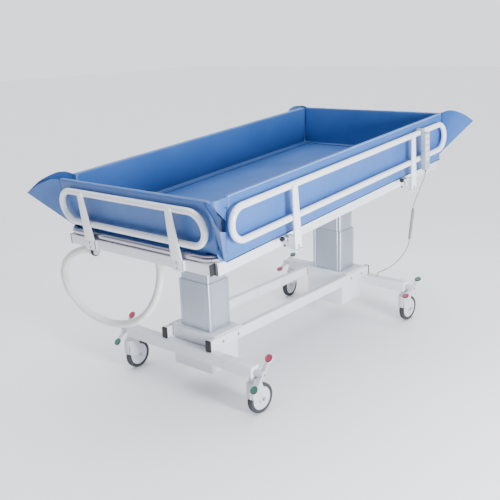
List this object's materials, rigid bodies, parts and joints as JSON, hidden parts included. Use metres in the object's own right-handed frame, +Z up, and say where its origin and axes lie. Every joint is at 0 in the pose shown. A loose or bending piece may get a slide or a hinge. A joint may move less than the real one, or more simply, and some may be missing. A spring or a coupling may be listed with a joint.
{
  "type": "shower trolley",
  "caption": "Height-adjustable tilting shower trolley: padded waterproof liner with drain hose, fold-down side rails, end rails, telescopic columns, braked castors and a wired handset",
  "frame": {"origin": "on the floor, under the middle of the trolley's overall length and width", "axes": "+X from the foot end to the head end, +Y from the side with the handset to the other side, +Z up"},
  "size_m": [2.1596, 1.39, 1.2615],
  "materials": {
    "white_paint": "gloss powder coat",
    "rail_paint": "gloss powder coat",
    "column_aluminium": "satin anodised",
    "black_plastic": "moulded",
    "liner_fabric": "wipe-clean coated fabric over foam",
    "grey_tyre": "smooth tread",
    "castor_plastic": "moulded",
    "bright_steel": "bright",
    "handset_plastic": "moulded with a membrane keypad",
    "cord_sleeve": "smooth sleeve",
    "hose_plastic": "ribbed"
  },
  "bodies": {
    "base": {"base_rail_near": "white_paint", "base_rail_far": "white_paint", "rail_cap_front_near": "black_plastic", "rail_cap_front_far": "black_plastic", "rail_cap_rear_near": "black_plastic", "rail_cap_rear_far": "black_plastic", "cross_leg_front": "white_paint", "cross_leg_rear": "white_paint", "column_housing_front": "white_paint", "column_housing_rear": "white_paint", "column_outer_front": "column_aluminium", "column_outer_rear": "column_aluminium", "cable_lower": "cord_sleeve"},
    "front_middle": {"column_middle_front": "column_aluminium"},
    "front_inner": {"column_inner_front": "column_aluminium", "cable_curly": "cord_sleeve"},
    "rear_middle": {"column_middle_rear": "column_aluminium"},
    "rear_inner": {"column_inner_rear": "column_aluminium"},
    "platform": {"cross_tube_foot": "white_paint", "cross_tube_head": "white_paint", "cross_tube_cap_near": "black_plastic", "cross_tube_cap_far": "black_plastic", "side_tube_near": "white_paint", "side_tube_far": "white_paint", "tilt_crossmember_front": "white_paint", "tilt_crossmember_rear": "white_paint", "deck": "white_paint", "liner_floor": "liner_fabric", "liner_end_foot": "liner_fabric", "liner_end_head": "liner_fabric", "end_rail_foot": "rail_paint", "end_rail_head": "rail_paint", "drain_hose": "hose_plastic", "hose_clip": "black_plastic"},
    "rail_near": {"side_rail_near": "rail_paint", "liner_wall_near": "liner_fabric", "handset": "handset_plastic", "cable_upper": "cord_sleeve"},
    "rail_far": {"side_rail_far": "rail_paint", "liner_wall_far": "liner_fabric"},
    "latch_foot_near": {"latch_foot_near": "bright_steel"},
    "latch_foot_far": {"latch_foot_far": "bright_steel"},
    "latch_head_near": {"latch_head_near": "bright_steel"},
    "latch_head_far": {"latch_head_far": "bright_steel"},
    "castor_front_near": {"castor_fork_front_near": "castor_plastic"},
    "wheel_front_near": {"castor_hub_front_near": "castor_plastic", "castor_tyre_front_near": "grey_tyre"},
    "pedal_front_near": {"brake_pedal_front_near": "castor_plastic"},
    "castor_front_far": {"castor_fork_front_far": "castor_plastic"},
    "wheel_front_far": {"castor_hub_front_far": "castor_plastic", "castor_tyre_front_far": "grey_tyre"},
    "pedal_front_far": {"brake_pedal_front_far": "castor_plastic"},
    "castor_rear_near": {"castor_fork_rear_near": "castor_plastic"},
    "wheel_rear_near": {"castor_hub_rear_near": "castor_plastic", "castor_tyre_rear_near": "grey_tyre"},
    "pedal_rear_near": {"brake_pedal_rear_near": "castor_plastic"},
    "castor_rear_far": {"castor_fork_rear_far": "castor_plastic"},
    "wheel_rear_far": {"castor_hub_rear_far": "castor_plastic", "castor_tyre_rear_far": "grey_tyre"},
    "pedal_rear_far": {"brake_pedal_rear_far": "castor_plastic"}
  },
  "joints": [
    {"name": "lift", "type": "slide", "parent": "base", "child": "front_inner", "axis": [0, 0, 1], "range_m": [-0.17, 0.1], "deforming": ["cable_curly", "cable_lower"]},
    {"name": "front_middle_slide", "type": "slide", "parent": "base", "child": "front_middle", "axis": [0, 0, 1], "range_m": [-0.085, 0.05]},
    {"name": "tilt", "type": "hinge", "parent": "front_inner", "child": "platform", "pos_m": [-0.5531, 0, 0.775], "axis": [0, -1, 0], "range_deg": [-4.2, 3.8]},
    {"name": "rear_inner_slide", "type": "slide", "parent": "front_inner", "child": "rear_inner", "axis": [0, 0, 1], "range_m": [-0.0866, 0.0784]},
    {"name": "rear_middle_slide", "type": "slide", "parent": "front_middle", "child": "rear_middle", "axis": [0, 0, 1], "range_m": [-0.0433, 0.0392]},
    {"name": "rail_near_fold", "type": "hinge", "parent": "platform", "child": "rail_near", "pos_m": [0.03897, -0.535, 0.84107], "axis": [0.9973, 0, 0.0732], "range_deg": [0, 172], "deforming": ["cable_upper"]},
    {"name": "rail_far_fold", "type": "hinge", "parent": "platform", "child": "rail_far", "pos_m": [0.03897, 0.535, 0.84107], "axis": [-0.9973, 0, -0.0732], "range_deg": [0, 172]},
    {"name": "latch_foot_near_pull", "type": "slide", "parent": "platform", "child": "latch_foot_near", "axis": [-0.9973, 0, -0.0732], "range_m": [0, 0.012], "stiffness_N_per_m": 900, "springref_m": -0.004},
    {"name": "latch_foot_far_pull", "type": "slide", "parent": "platform", "child": "latch_foot_far", "axis": [-0.9973, 0, -0.0732], "range_m": [0, 0.012], "stiffness_N_per_m": 900, "springref_m": -0.004},
    {"name": "latch_head_near_pull", "type": "slide", "parent": "platform", "child": "latch_head_near", "axis": [-0.9973, 0, -0.0732], "range_m": [0, 0.012], "stiffness_N_per_m": 900, "springref_m": -0.004},
    {"name": "latch_head_far_pull", "type": "slide", "parent": "platform", "child": "latch_head_far", "axis": [-0.9973, 0, -0.0732], "range_m": [0, 0.012], "stiffness_N_per_m": 900, "springref_m": -0.004},
    {"name": "castor_front_near_swivel", "type": "hinge", "parent": "base", "child": "castor_front_near", "pos_m": [-0.6911, -0.43, 0.15], "axis": [0, 0, 1], "continuous": true},
    {"name": "wheel_front_near_roll", "type": "hinge", "parent": "castor_front_near", "child": "wheel_front_near", "pos_m": [-0.65718, -0.43237, 0.075], "axis": [0.0698, 0.9976, 0], "continuous": true},
    {"name": "pedal_front_near_press", "type": "hinge", "parent": "base", "child": "pedal_front_near", "pos_m": [-0.6911, -0.476, 0.22], "axis": [0, 1, 0], "range_deg": [0, 46]},
    {"name": "castor_front_far_swivel", "type": "hinge", "parent": "base", "child": "castor_front_far", "pos_m": [-0.6911, 0.43, 0.15], "axis": [0, 0, 1], "continuous": true},
    {"name": "wheel_front_far_roll", "type": "hinge", "parent": "castor_front_far", "child": "wheel_front_far", "pos_m": [-0.65712, 0.43119, 0.075], "axis": [-0.0349, 0.9994, 0], "continuous": true},
    {"name": "pedal_front_far_press", "type": "hinge", "parent": "base", "child": "pedal_front_far", "pos_m": [-0.6911, 0.476, 0.22], "axis": [0, 1, 0], "range_deg": [0, 46]},
    {"name": "castor_rear_near_swivel", "type": "hinge", "parent": "base", "child": "castor_rear_near", "pos_m": [0.7569, -0.43, 0.15], "axis": [0, 0, 1], "continuous": true},
    {"name": "wheel_rear_near_roll", "type": "hinge", "parent": "castor_rear_near", "child": "wheel_rear_near", "pos_m": [0.79082, -0.43237, 0.075], "axis": [0.0698, 0.9976, 0], "continuous": true},
    {"name": "pedal_rear_near_press", "type": "hinge", "parent": "base", "child": "pedal_rear_near", "pos_m": [0.7569, -0.476, 0.22], "axis": [0, 1, 0], "range_deg": [-23, 23]},
    {"name": "castor_rear_far_swivel", "type": "hinge", "parent": "base", "child": "castor_rear_far", "pos_m": [0.7569, 0.43, 0.15], "axis": [0, 0, 1], "continuous": true},
    {"name": "wheel_rear_far_roll", "type": "hinge", "parent": "castor_rear_far", "child": "wheel_rear_far", "pos_m": [0.72309, 0.42645, 0.075], "axis": [0.1045, -0.9945, 0], "continuous": true},
    {"name": "pedal_rear_far_press", "type": "hinge", "parent": "base", "child": "pedal_rear_far", "pos_m": [0.7569, 0.476, 0.22], "axis": [0, 1, 0], "range_deg": [-23, 23]}
  ],
  "couplings": [
    {"joint": "front_middle_slide", "follows": "lift", "ratio": 0.5},
    {"joint": "rear_inner_slide", "follows": "tilt", "m_per_rad": 1.18},
    {"joint": "rear_middle_slide", "follows": "tilt", "m_per_rad": 0.59},
    {"joint": "pedal_front_far_press", "follows": "pedal_front_near_press", "ratio": 1},
    {"joint": "pedal_rear_far_press", "follows": "pedal_rear_near_press", "ratio": 1}
  ]
}
